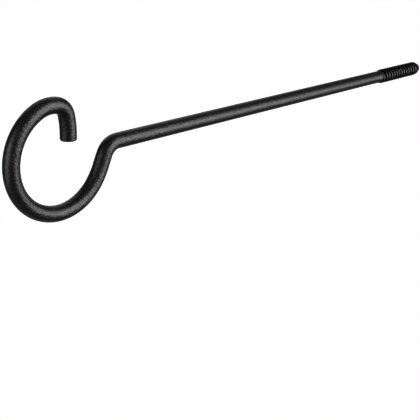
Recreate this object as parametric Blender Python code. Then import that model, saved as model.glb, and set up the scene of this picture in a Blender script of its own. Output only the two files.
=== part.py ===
"""Screw-in plant hook: a round steel rod that is bent at one end into an offset neck, an almost
closed loop and a short tip that points back into the loop, and rolled at the other end into a
coarse right-handed lag thread with a blunt, tapered nose.

Metres, +Z up. The origin is on the shank's axis, in the plane where the thread begins, which is
the plane of the wall or joist once the hook is screwed in. +X runs along the thread towards its
nose, the loop lies in the XZ plane at -X, and its tip points down.
"""

import math

import bmesh
import bpy
from mathutils import Matrix, Vector

# Driving dimensions, in millimetres and degrees ------------------------------------------------

ROD_RADIUS = 3.225  # 1/4 in rod with 0.05 mm of coat
SHANK = 205.3  # straight run from the thread to the neck

# The bends, as the radius of the rod's centre line and the angle it turns
NECK_RADIUS, NECK_ANGLE = 7.7, 66.0
NECK_STRAIGHT = 5.0
LEAD_RADIUS, LEAD_ANGLE = 28.7, 15.2  # eases the neck into the loop
LOOP_RADIUS, LOOP_ANGLE = 22.0, 207.0
CLOSING_RADIUS, CLOSING_ANGLE = 14.2, 35.8  # the loop tightens as it closes
TIP_RADIUS, TIP_ANGLE = 5.7, 65.7
TAIL_RADIUS = 31.0
TAIL_ANGLE = 270.0 + NECK_ANGLE - LEAD_ANGLE - LOOP_ANGLE - CLOSING_ANGLE - TIP_ANGLE
TIP_STRAIGHT = 3.45  # square to the shank
TIP_EDGE = 0.45  # rounding of the cut end

THREAD_LENGTH = 44.2  # from the origin to the flat end of the nose
PITCH = 25.4 / 9.0  # nine turns to the inch
MAJOR_RADIUS = 3.87  # crests, proud of the shank because the thread is rolled, not cut
MINOR_RADIUS = 2.75
CREST_WIDTH = 1.0
LOAD_FLANK = 0.6  # the flanks' lengths along the axis, towards the loop and towards the nose;
LEAD_FLANK = 0.5  # the rest of the pitch is the root
FIRST_CREST = 1.1  # where the first crest crosses the -Y side of the shank
RIDGE_FROM, RIDGE_OVER = 60.0, 180.0  # the stretch of the first turn in which the ridge grows
GROOVE_FROM, GROOVE_OVER = 90.0, 60.0  # and in which the groove after it is cut in
TAPER_FROM = 40.0  # the nose
NOSE_CREST_RADIUS = 2.4
NOSE_ROOT_RADIUS = 1.9

JOINT_GAP = 0.3  # between the end of the rod and the start of the thread

# Facets ----------------------------------------------------------------------------------------

ROD_SIDES = 24
SHANK_STEPS = 8
NECK_STEPS = 8
LEAD_STEPS = 3
LOOP_STEPS = 34
CLOSING_STEPS = 6
TIP_STEPS = 9
TAIL_STEPS = 3
THREAD_SIDES = 24

MM = 0.001


def clear_scene():
    for obj in list(bpy.data.objects):
        bpy.data.objects.remove(obj, do_unlink=True)


def finish(name, base_color, metallic, roughness):
    mat = bpy.data.materials.new(name)
    mat.use_nodes = True
    shader = mat.node_tree.nodes["Principled BSDF"]
    shader.inputs["Base Color"].default_value = (*base_color, 1.0)
    shader.inputs["Metallic"].default_value = metallic
    shader.inputs["Roughness"].default_value = roughness
    mat.diffuse_color = (*base_color, 1.0)
    return mat


def add_object(name, bm, mat, parent, sharp_angle):
    bmesh.ops.recalc_face_normals(bm, faces=bm.faces[:])
    mesh = bpy.data.meshes.new(name)
    bm.to_mesh(mesh)
    bm.free()
    mesh.materials.append(mat)
    mesh.shade_smooth()
    mesh.set_sharp_from_angle(angle=math.radians(sharp_angle))
    obj = bpy.data.objects.new(name, mesh)
    bpy.context.collection.objects.link(obj)
    obj.parent = parent
    return obj


class Bender:
    """Draws a round bar along a centre line in the XZ plane, one straight or bend at a time."""

    def __init__(self, bm, start, heading, radius, sides):
        self.bm = bm
        self.pos = Vector(start)
        self.heading = math.radians(heading)  # from +X towards +Z
        made = bmesh.ops.create_circle(
            bm,
            cap_ends=False,
            radius=radius,
            segments=sides,
            matrix=Matrix.Translation(self.pos) @ Matrix.Rotation(math.pi / 2, 4, "Y"),
        )
        self.ring = list({e for v in made["verts"] for e in v.link_edges})
        self.cap()

    def direction(self):
        return Vector((math.cos(self.heading), 0.0, math.sin(self.heading)))

    def cap(self):
        bmesh.ops.contextual_create(self.bm, geom=self.ring)

    def straight(self, length, steps=1):
        for _ in range(steps):
            grown = bmesh.ops.extrude_edge_only(self.bm, edges=self.ring)["geom"]
            verts = [g for g in grown if isinstance(g, bmesh.types.BMVert)]
            self.ring = [
                g
                for g in grown
                if isinstance(g, bmesh.types.BMEdge) and all(v in verts for v in g.verts)
            ]
            step = self.direction() * (length / steps)
            bmesh.ops.translate(self.bm, verts=verts, vec=step)
            self.pos += step

    def bend(self, radius, angle, steps):
        """A positive angle bends from +X towards +Z, a negative one the other way."""
        side = 1.0 if angle > 0 else -1.0
        d = self.direction()
        centre = self.pos + Vector((-d.z, 0.0, d.x)) * (radius * side)
        turn = math.radians(abs(angle))
        spun = bmesh.ops.spin(
            self.bm,
            geom=self.ring,
            cent=centre,
            axis=(0.0, -side, 0.0),
            angle=turn,
            steps=steps,
            use_duplicate=False,
        )
        self.ring = [g for g in spun["geom_last"] if isinstance(g, bmesh.types.BMEdge)]
        self.pos = centre + Matrix.Rotation(turn, 3, (0.0, -side, 0.0)) @ (self.pos - centre)
        self.heading += math.radians(angle)

    def shrink(self, inset, forward):
        """The last ring again, smaller and further on: one facet of a rounded edge."""
        grown = bmesh.ops.extrude_edge_only(self.bm, edges=self.ring)["geom"]
        verts = [g for g in grown if isinstance(g, bmesh.types.BMVert)]
        self.ring = [
            g
            for g in grown
            if isinstance(g, bmesh.types.BMEdge) and all(v in verts for v in g.verts)
        ]
        step = self.direction() * forward
        for v in verts:
            arm = v.co - self.pos
            v.co = self.pos + arm * (1.0 - inset / arm.length) + step
        self.pos += step


def build_hook_rod(mat, parent):
    bm = bmesh.new()
    bar = Bender(
        bm,
        start=(-0.5 * JOINT_GAP * MM, 0.0, 0.0),
        heading=180.0,
        radius=ROD_RADIUS * MM,
        sides=ROD_SIDES,
    )
    bar.straight((SHANK - 0.5 * JOINT_GAP) * MM, SHANK_STEPS)
    bar.bend(NECK_RADIUS * MM, NECK_ANGLE, NECK_STEPS)
    bar.straight(NECK_STRAIGHT * MM)
    bar.bend(LEAD_RADIUS * MM, -LEAD_ANGLE, LEAD_STEPS)
    bar.bend(LOOP_RADIUS * MM, -LOOP_ANGLE, LOOP_STEPS)
    bar.bend(CLOSING_RADIUS * MM, -CLOSING_ANGLE, CLOSING_STEPS)
    bar.bend(TIP_RADIUS * MM, -TIP_ANGLE, TIP_STEPS)
    bar.bend(TAIL_RADIUS * MM, -TAIL_ANGLE, TAIL_STEPS)
    bar.straight((TIP_STRAIGHT - TIP_EDGE) * MM)
    # the cut end's edge, rounded in two facets
    bar.shrink(0.3 * TIP_EDGE * MM, 0.7 * TIP_EDGE * MM)
    bar.shrink(0.7 * TIP_EDGE * MM, 0.3 * TIP_EDGE * MM)
    bar.cap()
    return add_object("hook_rod", bm, mat, parent, 35.0)


def smooth(t):
    t = min(max(t, 0.0), 1.0)
    return t * t * (3.0 - 2.0 * t)


def crest_radius(turn_angle):
    """The ridge grows out of the shank at the start of the helix."""
    return ROD_RADIUS + (MAJOR_RADIUS - ROD_RADIUS) * smooth((turn_angle - RIDGE_FROM) / RIDGE_OVER)


def root_radius(turn_angle):
    """The groove on the nose's side of the ridge at this angle."""
    formed = smooth((turn_angle - GROOVE_FROM) / GROOVE_OVER)
    return ROD_RADIUS + (MINOR_RADIUS - ROD_RADIUS) * formed


def tapered(x, radius, nose_radius):
    """A radius, cut down to the nose's cone."""
    t = (x - TAPER_FROM) / (THREAD_LENGTH - TAPER_FROM)
    if t <= 0.0:
        return radius
    return min(radius, radius + (nose_radius - radius) * t)


def build_screw_thread(mat, parent):
    """A helical ridge and its root: four lines of points wound around X, one pitch per turn, then
    cut square at both ends."""
    bm = bmesh.new()
    step = 360.0 / THREAD_SIDES
    first = -720.0
    turns = math.ceil(THREAD_LENGTH / PITCH) + 5
    lines = []
    for i in range(turns * THREAD_SIDES + 1):
        angle = first + i * step
        crest_x = FIRST_CREST + PITCH * (angle - 180.0) / 360.0
        crest = crest_radius(angle)
        profile = (
            (-0.5 * CREST_WIDTH - LOAD_FLANK, root_radius(angle - 360.0), NOSE_ROOT_RADIUS),
            (-0.5 * CREST_WIDTH, crest, NOSE_CREST_RADIUS),
            (0.5 * CREST_WIDTH, crest, NOSE_CREST_RADIUS),
            (0.5 * CREST_WIDTH + LEAD_FLANK, root_radius(angle), NOSE_ROOT_RADIUS),
        )
        c, s = math.cos(math.radians(angle)), math.sin(math.radians(angle))
        points = []
        for dx, radius, nose_radius in profile:
            x = crest_x + dx
            r = tapered(x, radius, nose_radius)
            points.append(bm.verts.new((x * MM, r * c * MM, r * s * MM)))
        lines.append(points)
    for i in range(len(lines) - 1):
        here, there = lines[i], lines[i + 1]
        for j in range(3):
            bm.faces.new((here[j], here[j + 1], there[j + 1], there[j]))
        if i + 1 + THREAD_SIDES < len(lines):
            # the root, from this turn's far foot to the next turn's near foot
            next_here, next_there = lines[i + THREAD_SIDES], lines[i + 1 + THREAD_SIDES]
            bm.faces.new((here[3], next_here[0], next_there[0], there[3]))
    for x, side in ((0.5 * JOINT_GAP, -1.0), (THREAD_LENGTH, 1.0)):
        cut = bmesh.ops.bisect_plane(
            bm,
            geom=bm.verts[:] + bm.edges[:] + bm.faces[:],
            dist=0.01 * MM,
            plane_co=(x * MM, 0.0, 0.0),
            plane_no=(side, 0.0, 0.0),
            clear_outer=True,
        )
        rim = [
            e
            for e in cut["geom_cut"]
            if isinstance(e, bmesh.types.BMEdge) and len(e.link_faces) == 1
        ]
        bmesh.ops.contextual_create(bm, geom=rim)
    return add_object("screw_thread", bm, mat, parent, 28.0)


def main():
    clear_scene()
    hook = bpy.data.objects.new("plant_hook", None)
    hook.empty_display_size = 0.02
    bpy.context.collection.objects.link(hook)
    coat = finish("black_powder_coat", (0.022, 0.022, 0.023), 0.0, 0.42)
    steel = finish("black_steel", (0.047, 0.047, 0.048), 1.0, 0.25)
    build_hook_rod(coat, hook)
    build_screw_thread(steel, hook)


main()
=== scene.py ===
"""Looks of the screw-in plant hook: the coated rod and the thread as fine meshes, their finishes, a
plain white studio and the camera.

Everything is in the part's own frame. Lengths in the design tables are millimetres, as in the
construction of the part; the meshes are metres.
"""

import math

import bmesh
import bpy
from mathutils import Matrix, Vector, noise


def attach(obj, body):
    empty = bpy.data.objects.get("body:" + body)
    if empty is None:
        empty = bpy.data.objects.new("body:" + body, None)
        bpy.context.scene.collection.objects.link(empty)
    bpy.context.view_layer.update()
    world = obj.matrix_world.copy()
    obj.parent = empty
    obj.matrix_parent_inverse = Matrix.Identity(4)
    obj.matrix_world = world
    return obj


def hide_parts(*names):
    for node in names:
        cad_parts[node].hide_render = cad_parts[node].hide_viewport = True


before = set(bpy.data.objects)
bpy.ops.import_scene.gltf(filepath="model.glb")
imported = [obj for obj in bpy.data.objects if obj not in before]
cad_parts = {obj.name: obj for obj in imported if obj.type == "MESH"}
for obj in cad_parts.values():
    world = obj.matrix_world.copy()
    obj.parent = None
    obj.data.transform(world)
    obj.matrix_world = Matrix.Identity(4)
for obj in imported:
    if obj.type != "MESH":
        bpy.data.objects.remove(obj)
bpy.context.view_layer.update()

MM = 0.001

# Rod ---------------------------------------------------------------------------------------------

ROD_RADIUS = 3.225
SHANK = 205.3
NECK_RADIUS, NECK_ANGLE, NECK_STRAIGHT = 7.7, 66.0, 5.0
LEAD_RADIUS, LEAD_ANGLE = 28.7, 15.2
LOOP_RADIUS, LOOP_ANGLE = 22.0, 207.0
CLOSING_RADIUS, CLOSING_ANGLE = 14.2, 35.8
TIP_RADIUS, TIP_ANGLE = 5.7, 65.7
TAIL_RADIUS = 31.0
TAIL_ANGLE = 270.0 + NECK_ANGLE - LEAD_ANGLE - LOOP_ANGLE - CLOSING_ANGLE - TIP_ANGLE
TIP_STRAIGHT, TIP_EDGE = 3.45, 0.45

ROD_SIDES = 88
ROD_STEP = 0.62  # between rings
EDGE_RINGS = 8  # of the tip's rounded edge
FACE_RINGS = (0.8, 0.55, 0.28)  # rings inside the cut end's flat face, as shares of its radius

# Thread ------------------------------------------------------------------------------------------

THREAD_LENGTH = 44.2
PITCH = 25.4 / 9.0
MAJOR_RADIUS, MINOR_RADIUS = 3.87, 2.75
CREST_WIDTH, LOAD_FLANK, LEAD_FLANK = 1.0, 0.6, 0.5
FIRST_CREST = 1.1
RIDGE_FROM, RIDGE_OVER = 60.0, 180.0
GROOVE_FROM, GROOVE_OVER = 90.0, 60.0
TAPER_FROM = 40.0
NOSE_CREST_RADIUS, NOSE_ROOT_RADIUS = 2.4, 1.9
NOSE_EDGE = 0.5
PAINTED_SHADE_BELOW = 0.9  # the share of the ridge's height above which the crest steel goes (rubbed wear with a painted highlight), and below which the root steel goes (painted shade)

THREAD_SIDES = 96
# places across one pitch, measured from the middle of the crest, closer where the profile turns
PROFILE = (
    -1.3, -1.2, -1.12, -1.05, -0.98, -0.9, -0.8, -0.7, -0.62, -0.55, -0.48, -0.4, -0.3, -0.15,
    0.1, 0.25, 0.34, 0.41, 0.47, 0.53, 0.6, 0.7, 0.8, 0.88, 0.95, 1.02, 1.15,
)


def smooth(t):
    t = min(max(t, 0.0), 1.0)
    return t * t * (3.0 - 2.0 * t)


def soft_min(a, b, k):
    h = max(k - abs(a - b), 0.0) / k
    return min(a, b) - h * h * k * 0.25


# The centre line: straights and bends in the XZ plane ----------------------------------------------


class CentreLine:
    """Where the rod's middle is, and which way it runs, at any distance from the thread."""

    def __init__(self):
        self.runs = []
        self.start = Vector((0.0, 0.0))
        self.heading = math.pi
        self.length = 0.0

    def straight(self, length):
        self.add(length, 0.0)

    def bend(self, radius, angle):
        turn = math.radians(angle)
        self.add(radius * abs(turn), turn)

    def add(self, length, turn):
        self.runs.append((self.length, length, self.start.copy(), self.heading, turn))
        self.start, self.heading = self.on(self.runs[-1], length)
        self.length += length

    @staticmethod
    def on(run, along):
        _, length, start, heading, turn = run
        if abs(turn) < 1e-9:
            return start + Vector((math.cos(heading), math.sin(heading))) * along, heading
        radius = length / turn
        now = heading + turn * along / length
        moved = Vector((math.sin(now) - math.sin(heading), math.cos(heading) - math.cos(now)))
        return start + moved * radius, now

    def at(self, distance):
        for run in reversed(self.runs):
            if distance >= run[0] or run is self.runs[0]:
                return (*self.on(run, distance - run[0]), run[4] / run[1])


def hook_line():
    line = CentreLine()
    line.straight(SHANK)
    line.bend(NECK_RADIUS, NECK_ANGLE)
    line.straight(NECK_STRAIGHT)
    line.bend(LEAD_RADIUS, -LEAD_ANGLE)
    line.bend(LOOP_RADIUS, -LOOP_ANGLE)
    line.bend(CLOSING_RADIUS, -CLOSING_ANGLE)
    line.bend(TIP_RADIUS, -TIP_ANGLE)
    line.bend(TAIL_RADIUS, -TAIL_ANGLE)
    line.straight(TIP_STRAIGHT)
    return line


def unevenness(point, strength):
    """The coat's orange peel: shallow, rounded swells a few millimetres apart."""
    swell = noise.noise(point * 0.42) + 0.6 * noise.noise(point * 0.95 + Vector((7.1, 3.3, 5.9)))
    return strength * swell


# Meshes --------------------------------------------------------------------------------------------


def grid_piece(name, bm, materials, sharp_angle):
    bmesh.ops.recalc_face_normals(bm, faces=bm.faces[:])
    mesh = bpy.data.meshes.new(name)
    bm.to_mesh(mesh)
    bm.free()
    for mat in materials:
        mesh.materials.append(mat)
    mesh.shade_smooth()
    mesh.set_sharp_from_angle(angle=math.radians(sharp_angle))
    piece = bpy.data.objects.new(name, mesh)
    bpy.context.scene.collection.objects.link(piece)
    return piece


def ring_of(bm, centre, heading, radius_at, sides):
    """A closed ring of points square to the rod; radius_at(angle) is in millimetres."""
    side = Vector((-math.sin(heading), 0.0, math.cos(heading)))
    middle = Vector((centre.x, 0.0, centre.y))
    out = []
    for i in range(sides):
        angle = 2.0 * math.pi * i / sides
        arm = side * math.cos(angle) + Vector((0.0, 1.0, 0.0)) * math.sin(angle)
        out.append(bm.verts.new((middle + arm * radius_at(angle, middle + arm * ROD_RADIUS)) * MM))
    return out


def join_rings(bm, a, b):
    n = len(a)
    return [bm.faces.new((a[i], a[(i + 1) % n], b[(i + 1) % n], b[i])) for i in range(n)]


def build_rod(coat):
    line = hook_line()
    bm = bmesh.new()
    end = line.length - TIP_EDGE
    count = round(end / ROD_STEP)
    rings = []
    for k in range(count + 1):
        distance = end * k / count
        centre, heading, bent = line.at(distance)
        # a bar that was bent cold is a little flatter in its tight bends
        flat = 0.045 * smooth((abs(bent) - 0.06) / 0.06)
        calm = smooth(distance / 2.0)

        def radius_at(angle, point):
            peel = unevenness(point, 0.011 * calm)
            return ROD_RADIUS + peel - flat * math.cos(angle) ** 2

        rings.append(ring_of(bm, centre, heading, radius_at, ROD_SIDES))
    for k in range(count):
        join_rings(bm, rings[k], rings[k + 1])
    # the cut end: its rounded edge, then its face, left a little uneven by the cut and the coat
    last = rings[-1]
    centre, heading, _ = line.at(end)
    way = Vector((math.cos(heading), math.sin(heading)))
    rim = ROD_RADIUS - TIP_EDGE
    for k in range(1, EDGE_RINGS + 1):
        turn = 0.5 * math.pi * k / EDGE_RINGS
        radius = rim + TIP_EDGE * math.cos(turn)
        ring = ring_of(
            bm,
            centre + way * (TIP_EDGE * math.sin(turn)),
            heading,
            lambda angle, point, r=radius: r + unevenness(point, 0.011),
            ROD_SIDES,
        )
        join_rings(bm, last, ring)
        last = ring
    for share in FACE_RINGS:
        radius = rim * share
        ring = ring_of(
            bm,
            centre + way * (TIP_EDGE - 0.02 * (1.0 - share)),
            heading,
            lambda angle, point, r=radius: r,
            ROD_SIDES,
        )
        join_rings(bm, last, ring)
        last = ring
    bm.faces.new(last)
    bm.faces.new(rings[0])
    return grid_piece("coated_rod", bm, [coat], 40.0)


def ridge_grown(angle):
    return smooth((angle - RIDGE_FROM) / RIDGE_OVER)


def groove_cut(angle):
    return smooth((angle - GROOVE_FROM) / GROOVE_OVER)


def ridge(across):
    """The ridge's height over the root, from 0 to 1, at this distance from the crest's middle. The
    black finish rounds its edges."""
    if across < 0.0:
        flank, top_round = 1.0 + (across + 0.5 * CREST_WIDTH) / LOAD_FLANK, 0.6
    else:
        flank, top_round = 1.0 - (across - 0.5 * CREST_WIDTH) / LEAD_FLANK, 0.5
    top = soft_min(flank, 1.0, top_round)
    return -soft_min(-top, 0.0, 0.3)


def thread_radius(across, angle, x):
    # the groove before the ridge belongs to the turn before
    cut = groove_cut(angle - 360.0 if across < 0.0 else angle)
    root = ROD_RADIUS + (MINOR_RADIUS - ROD_RADIUS) * cut
    crest = ROD_RADIUS + (MAJOR_RADIUS - ROD_RADIUS) * ridge_grown(angle)
    t = (x - TAPER_FROM) / (THREAD_LENGTH - TAPER_FROM)
    if t > 0.0:
        root += (NOSE_ROOT_RADIUS - root) * t
        crest += (NOSE_CREST_RADIUS - crest) * t
    radius = root + (crest - root) * ridge(across)
    left = THREAD_LENGTH - x
    if left < NOSE_EDGE:
        rounded = NOSE_EDGE - math.sqrt(max(NOSE_EDGE**2 - (NOSE_EDGE - max(left, 0.0)) ** 2, 0.0))
        radius = min(radius, NOSE_CREST_RADIUS - rounded)
    return radius


def build_thread(coat, crest, root):
    bm = bmesh.new()
    step = 360.0 / THREAD_SIDES
    first = -720.0
    turns = math.ceil(THREAD_LENGTH / PITCH) + 5
    lines = []
    for i in range(turns * THREAD_SIDES + 1):
        angle = first + i * step
        crest_x = FIRST_CREST + PITCH * (angle - 180.0) / 360.0
        c, s = math.cos(math.radians(angle)), math.sin(math.radians(angle))
        points = []
        for across in PROFILE:
            x = crest_x + across
            r = thread_radius(across, angle, x)
            points.append(bm.verts.new((x * MM, r * c * MM, r * s * MM)))
        lines.append(points)
    last = len(PROFILE) - 1
    for i in range(len(lines) - 1):
        here, there = lines[i], lines[i + 1]
        angle = first + (i + 0.5) * step
        for j in range(last):
            face = bm.faces.new((here[j], here[j + 1], there[j + 1], there[j]))
            across = 0.5 * (PROFILE[j] + PROFILE[j + 1])
            # the coat ends where the first groove and the first ridge begin
            if across < -0.5 * CREST_WIDTH:
                formed = max(groove_cut(angle - 360.0), ridge_grown(angle))
            elif across < 0.5 * CREST_WIDTH + LEAD_FLANK:
                formed = ridge_grown(angle)
            else:
                formed = groove_cut(angle)
            # high ridge faces take the crest steel, rubbed wear with a painted highlight; the lower
            # flanks and roots take the root steel, painted shade in the grooves
            crest_or_shaded_root = 1 if ridge(across) > PAINTED_SHADE_BELOW else 2
            face.material_index = crest_or_shaded_root if formed > 0.15 else 0
        if i + 1 + THREAD_SIDES < len(lines):
            next_here, next_there = lines[i + THREAD_SIDES], lines[i + 1 + THREAD_SIDES]
            face = bm.faces.new((here[last], next_here[0], next_there[0], there[last]))
            # the root strip between turns takes the root steel, painted shade in the groove
            face.material_index = 2 if groove_cut(angle) > 0.15 else 0
    for x, side in ((0.0, -1.0), (THREAD_LENGTH, 1.0)):
        cut = bmesh.ops.bisect_plane(
            bm,
            geom=bm.verts[:] + bm.edges[:] + bm.faces[:],
            dist=0.004 * MM,
            plane_co=(x * MM, 0.0, 0.0),
            plane_no=(side, 0.0, 0.0),
            clear_outer=True,
        )
        rim = [
            e
            for e in cut["geom_cut"]
            if isinstance(e, bmesh.types.BMEdge) and len(e.link_faces) == 1
        ]
        made = bmesh.ops.contextual_create(bm, geom=rim)["faces"]
        for face in made:
            face.material_index = 2 if side > 0.0 else 0
    return grid_piece("lag_thread", bm, [coat, crest, root], 40.0)


# Finishes ------------------------------------------------------------------------------------------


class Nodes:
    """A little help to write a node tree down in order."""

    def __init__(self, material):
        material.use_nodes = True
        self.tree = material.node_tree
        self.shader = self.tree.nodes["Principled BSDF"]

    def add(self, kind, values=(), **settings):
        node = self.tree.nodes.new(kind)
        for name, value in settings.items():
            setattr(node, name, value)
        for name, value in dict(values).items():
            node.inputs[name].default_value = value
        return node

    def link(self, out, into):
        self.tree.links.new(out, into)

    def noise(self, coordinates, scale, detail=2.0, roughness=0.5, distortion=0.0):
        node = self.add(
            "ShaderNodeTexNoise",
            {"Scale": scale, "Detail": detail, "Roughness": roughness, "Distortion": distortion},
        )
        self.link(coordinates, node.inputs["Vector"])
        return node.outputs["Fac"]

    def ranged(self, value, from_low, from_high, to_low, to_high):
        node = self.add(
            "ShaderNodeMapRange",
            {
                "From Min": from_low,
                "From Max": from_high,
                "To Min": to_low,
                "To Max": to_high,
            },
            interpolation_type="SMOOTHSTEP",
        )
        self.link(value, node.inputs["Value"])
        return node.outputs["Result"]

    def ramp(self, value, stops):
        node = self.add("ShaderNodeValToRGB")
        ramp = node.color_ramp
        while len(ramp.elements) < len(stops):
            ramp.elements.new(0.5)
        for element, (place, colour) in zip(ramp.elements, stops):
            element.position = place
            element.color = (*colour, 1.0)
        self.link(value, node.inputs["Fac"])
        return node.outputs["Color"]

    def bump(self, height, strength, distance, normal=None):
        node = self.add("ShaderNodeBump", {"Strength": strength, "Distance": distance})
        self.link(height, node.inputs["Height"])
        if normal is not None:
            self.link(normal, node.inputs["Normal"])
        return node.outputs["Normal"]


def powder_coat():
    """Black powder coat: satin, with a fine sand-like grain over the mesh's own orange peel."""
    mat = bpy.data.materials.new("black_powder_coat")
    n = Nodes(mat)
    where = n.add("ShaderNodeTexCoord").outputs["Object"]
    grain = n.noise(where, 1400.0, detail=1.0, roughness=0.5)
    fine = n.noise(where, 3400.0, detail=2.0, roughness=0.55)
    cloud = n.noise(where, 260.0, detail=3.0, roughness=0.6)
    colour = n.ramp(
        cloud,
        [(0.25, (0.0075, 0.0075, 0.0078)), (0.75, (0.0105, 0.0105, 0.0108))],
    )
    n.link(colour, n.shader.inputs["Base Color"])
    n.link(n.ranged(grain, 0.3, 0.7, 0.29, 0.39), n.shader.inputs["Roughness"])
    rough = n.bump(grain, 1.0, 0.00017)
    n.link(n.bump(fine, 0.4, 0.00004, rough), n.shader.inputs["Normal"])
    return mat


def rolled_steel(name, dark, light, smooth_end, rough_end):
    """Rolled steel with a thin black finish; the rolls leave it smoother along the thread than
    across it."""
    mat = bpy.data.materials.new(name)
    n = Nodes(mat)
    where = n.add("ShaderNodeTexCoord").outputs["Object"]
    n.shader.inputs["Metallic"].default_value = 1.0
    n.shader.inputs["Anisotropic"].default_value = 0.95
    around = n.add("ShaderNodeTangent", direction_type="RADIAL", axis="X").outputs["Tangent"]
    n.link(around, n.shader.inputs["Tangent"])
    grain = n.noise(where, 1500.0, detail=3.0, roughness=0.6)
    cloud = n.noise(where, 420.0, detail=2.0, roughness=0.5)
    colour = n.ramp(cloud, [(0.3, (dark, dark, dark + 0.001)), (0.7, (light, light, light + 0.001))])
    n.link(colour, n.shader.inputs["Base Color"])
    n.link(n.ranged(grain, 0.3, 0.7, smooth_end, rough_end), n.shader.inputs["Roughness"])
    n.link(n.bump(grain, 0.25, 0.00003), n.shader.inputs["Normal"])
    return mat


def crest_steel_worn_and_highlit():
    """The thread's crests: lighter, glossier steel, partly the black finish rubbed thin and partly a
    painted highlight along the crest lines.
    """
    return rolled_steel("black_thread_crest_worn_and_highlit", 0.054, 0.067, 0.25, 0.31)


def root_steel_painted_shade():
    """Its flanks' feet and root: near-black, duller steel, painted shade in the thread's grooves."""
    return rolled_steel("black_thread_root_painted_shade", 0.003, 0.006, 0.38, 0.46)


# Studio --------------------------------------------------------------------------------------------

RIGHT = Vector((0.664639, -0.746511, 0.03123))
UP = Vector((0.240137, 0.253007, 0.937188))
FORWARD = Vector((0.707523, 0.615393, -0.347423))
MIDDLE = Vector((-0.108, 0.0, -0.002))  # of the hook


def make_camera():
    data = bpy.data.cameras.new("camera")
    data.sensor_fit = "HORIZONTAL"
    data.sensor_width = 36.0
    data.lens = 71.4904
    data.clip_start, data.clip_end = 0.01, 60.0
    camera = bpy.data.objects.new("camera", data)
    camera.matrix_world = Matrix(
        (
            (RIGHT.x, UP.x, -FORWARD.x, -0.428467),
            (RIGHT.y, UP.y, -FORWARD.y, -0.245793),
            (RIGHT.z, UP.z, -FORWARD.z, 0.093144),
            (0.0, 0.0, 0.0, 1.0),
        )
    )
    bpy.context.scene.collection.objects.link(camera)
    bpy.context.scene.camera = camera


# The picture's tones. The hook is lit 2.5 times as bright as it shows and brought down again in
# proportion, and the curve rises steeply above its greys, so that a pixel that is half hook and half
# white background comes out half way between their tones.
TONES = (
    (0.0, 0.0), (0.3875, 0.155), (0.45, 0.219), (0.5, 0.263), (0.6, 0.367),
    (0.7, 0.492), (0.8, 0.639), (0.9, 0.808), (1.0, 1.0),
)


def set_tones():
    settings = bpy.context.scene.view_settings
    settings.view_transform = "Standard"
    settings.look = "None"
    settings.exposure, settings.gamma = 0.0, 1.0
    settings.use_curve_mapping = True
    mapping = settings.curve_mapping
    mapping.initialize()
    curve = mapping.curves[3]
    while len(curve.points) < len(TONES):
        curve.points.new(0.5, 0.5)
    for point, place in zip(curve.points, TONES):
        point.location = place
        point.handle_type = "VECTOR"
    mapping.update()


def softbox(name, azimuth, elevation, width, height, roll, radiance, distance=2.0):
    """A soft light seen from the hook at these angles: azimuth 0 is from the camera's side and 90
    from its right; width and height are half angles."""
    a, e = math.radians(azimuth), math.radians(elevation)
    towards = (
        RIGHT * (math.sin(a) * math.cos(e)) + UP * math.sin(e) - FORWARD * (math.cos(a) * math.cos(e))
    )
    across = RIGHT * math.cos(a) + FORWARD * math.sin(a)
    upright = towards.cross(across)
    r = math.radians(roll)
    x_axis = across * math.cos(r) + upright * math.sin(r)
    y_axis = towards.cross(x_axis)
    data = bpy.data.lights.new(name, "AREA")
    data.shape = "RECTANGLE"
    data.size = 2.0 * distance * math.tan(math.radians(width))
    data.size_y = 2.0 * distance * math.tan(math.radians(height))
    data.energy = radiance * math.pi * data.size * data.size_y
    light = bpy.data.objects.new(name, data)
    place = MIDDLE + towards * distance
    light.matrix_world = Matrix(
        (
            (x_axis.x, y_axis.x, towards.x, place.x),
            (x_axis.y, y_axis.y, towards.y, place.y),
            (x_axis.z, y_axis.z, towards.z, place.z),
            (0.0, 0.0, 0.0, 1.0),
        )
    )
    light.visible_camera = False
    bpy.context.scene.collection.objects.link(light)
    return light


SOFTBOXES = (
    # name, azimuth, elevation, half width, half height, roll, radiance
    ("key", 78.0, 2.0, 31.0, 24.0, -36.0, 9.1),
    ("key_core", 64.0, 6.0, 18.0, 15.0, -20.0, 2.9),
    ("side", -44.0, -8.0, 20.0, 30.0, 0.0, 2.55),
    ("side_core", -46.0, -2.0, 15.0, 16.0, 0.0, 2.7),
    ("side_low", -56.0, -24.0, 30.0, 14.0, 25.0, 1.35),
    ("back", -170.0, 0.0, 40.0, 45.0, 0.0, 0.15),
    ("back_fill", -166.0, 6.0, 13.0, 26.0, 0.0, 0.8),
    ("back_top", -155.0, 60.0, 28.0, 18.0, 0.0, 1.0),
    ("back_spot", -164.0, 37.0, 9.0, 9.0, 0.0, 1.5),
    ("low", -130.0, -60.0, 40.0, 18.0, -10.0, 0.375),
)


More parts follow.
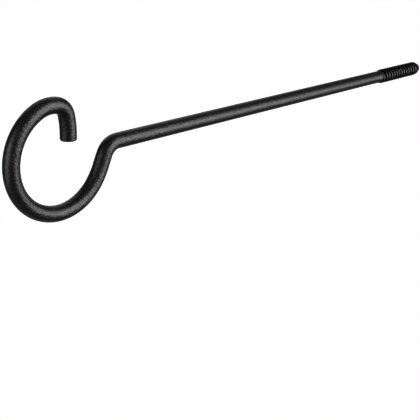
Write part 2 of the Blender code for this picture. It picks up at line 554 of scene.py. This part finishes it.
def make_lights():
    for values in SOFTBOXES:
        softbox(*values)


def make_world():
    """White for the camera, and a dim even light for the hook."""
    world = bpy.data.worlds.new("studio")
    bpy.context.scene.world = world
    world.use_nodes = True
    tree = world.node_tree
    tree.nodes.clear()
    out = tree.nodes.new("ShaderNodeOutputWorld")
    mix = tree.nodes.new("ShaderNodeMixShader")
    dim = tree.nodes.new("ShaderNodeBackground")
    dim.inputs["Color"].default_value = (0.075, 0.075, 0.075, 1.0)
    white = tree.nodes.new("ShaderNodeBackground")
    white.inputs["Color"].default_value = (1.0, 1.0, 1.0, 1.0)
    path = tree.nodes.new("ShaderNodeLightPath")
    tree.links.new(path.outputs["Is Camera Ray"], mix.inputs["Fac"])
    tree.links.new(dim.outputs["Background"], mix.inputs[1])
    tree.links.new(white.outputs["Background"], mix.inputs[2])
    tree.links.new(mix.outputs["Shader"], out.inputs["Surface"])


def make_floor():
    """A plain white floor far below the hook, so that no shadow of it shows."""
    mesh = bpy.data.meshes.new("floor")
    bm = bmesh.new()
    bmesh.ops.create_grid(bm, x_segments=1, y_segments=1, size=6.0)
    bm.to_mesh(mesh)
    bm.free()
    mat = bpy.data.materials.new("white_floor")
    mat.use_nodes = True
    tree = mat.node_tree
    tree.nodes.clear()
    out = tree.nodes.new("ShaderNodeOutputMaterial")
    glow = tree.nodes.new("ShaderNodeEmission")
    glow.inputs["Color"].default_value = (1.0, 1.0, 1.0, 1.0)
    tree.links.new(glow.outputs["Emission"], out.inputs["Surface"])
    mesh.materials.append(mat)
    floor = bpy.data.objects.new("floor", mesh)
    floor.location = (MIDDLE.x, MIDDLE.y, -0.9)
    floor.visible_diffuse = floor.visible_glossy = floor.visible_shadow = False
    floor.visible_transmission = floor.visible_volume_scatter = False
    bpy.context.scene.collection.objects.link(floor)


make_camera()
set_tones()
make_world()
make_floor()
make_lights()

coat = powder_coat()
rod = build_rod(coat)
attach(rod, "root")
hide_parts("hook_rod")
thread = build_thread(coat, crest_steel_worn_and_highlit(), root_steel_painted_shade())
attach(thread, "root")
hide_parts("screw_thread")
